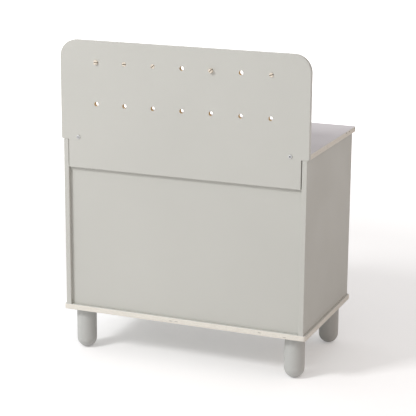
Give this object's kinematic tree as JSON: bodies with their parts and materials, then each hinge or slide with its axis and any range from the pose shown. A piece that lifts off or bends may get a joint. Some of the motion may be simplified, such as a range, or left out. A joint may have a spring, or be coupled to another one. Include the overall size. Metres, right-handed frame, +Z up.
{
  "type": "play workbench",
  "caption": "Child's toy workbench: cupboard on round-ended legs, with an overhanging worktop, drawers, an open shelf and a rounded tool board with peg holes and pegs.",
  "frame": {"origin": "on the floor under the middle of the bench's plan, halfway between its ends and halfway from the worktop's front edge to the tool board's rear face", "axes": "+Z up, +Y towards the tool board at the back, +X to the right as seen from the front"},
  "size_m": [0.602, 0.3674, 0.7455],
  "materials": {
    "white_board": "satin white painted board",
    "worktop_board": "satin lilac-grey painted board with bare ply edges",
    "leg_paint": "satin greige paint on turned wood",
    "peg_wood": "bare pale hardwood",
    "drawer_wood": "bare pale plywood",
    "zinc_steel": "zinc-plated steel"
  },
  "bodies": {
    "cupboard": {"base_board": "worktop_board", "side_panel_left": "white_board", "side_panel_right": "white_board", "back_panel": "white_board", "drawer_deck": "white_board", "shelf": "white_board", "drawer_partition": "white_board", "worktop": "worktop_board", "tool_board": "white_board", "leg_front_left": "leg_paint", "leg_front_right": "leg_paint", "leg_rear_left": "leg_paint", "leg_rear_right": "leg_paint", "leg_bolts": "zinc_steel", "base_screws": "zinc_steel", "board_screws": "zinc_steel", "cam_bolts": "zinc_steel", "cam_nuts": "zinc_steel"},
    "drawer_left": {"drawer_left_front": "white_board", "drawer_left_left_side": "drawer_wood", "drawer_left_right_side": "drawer_wood", "drawer_left_back": "drawer_wood", "drawer_left_bottom": "drawer_wood", "drawer_left_knob": "peg_wood", "drawer_left_knob_screw": "zinc_steel"},
    "drawer_right": {"drawer_right_front": "white_board", "drawer_right_left_side": "drawer_wood", "drawer_right_right_side": "drawer_wood", "drawer_right_back": "drawer_wood", "drawer_right_bottom": "drawer_wood", "drawer_right_knob": "peg_wood", "drawer_right_knob_screw": "zinc_steel"},
    "peg_far_right": {"peg_far_right": "peg_wood"},
    "peg_right": {"peg_right": "peg_wood"},
    "peg_centre_right": {"peg_centre_right": "peg_wood"},
    "peg_centre_left": {"peg_centre_left": "peg_wood"},
    "peg_far_left": {"peg_far_left": "peg_wood"}
  },
  "joints": [
    {"name": "drawer_left_slide", "type": "slide", "parent": "cupboard", "child": "drawer_left", "axis": [0, -1, 0], "range_m": [0, 0.2]},
    {"name": "drawer_right_slide", "type": "slide", "parent": "cupboard", "child": "drawer_right", "axis": [0, -1, 0], "range_m": [0, 0.2]},
    {"name": "peg_far_right_slide", "type": "slide", "parent": "cupboard", "child": "peg_far_right", "axis": [0, -1, 0], "range_m": [-0.003, 0.03]},
    {"name": "peg_right_slide", "type": "slide", "parent": "cupboard", "child": "peg_right", "axis": [0, -1, 0], "range_m": [-0.0065, 0.03]},
    {"name": "peg_centre_right_slide", "type": "slide", "parent": "cupboard", "child": "peg_centre_right", "axis": [0, -1, 0], "range_m": [-0.0065, 0.03]},
    {"name": "peg_centre_left_slide", "type": "slide", "parent": "cupboard", "child": "peg_centre_left", "axis": [0, -1, 0], "range_m": [0, 0.03]},
    {"name": "peg_far_left_slide", "type": "slide", "parent": "cupboard", "child": "peg_far_left", "axis": [0, -1, 0], "range_m": [-0.0055, 0.03]}
  ]
}
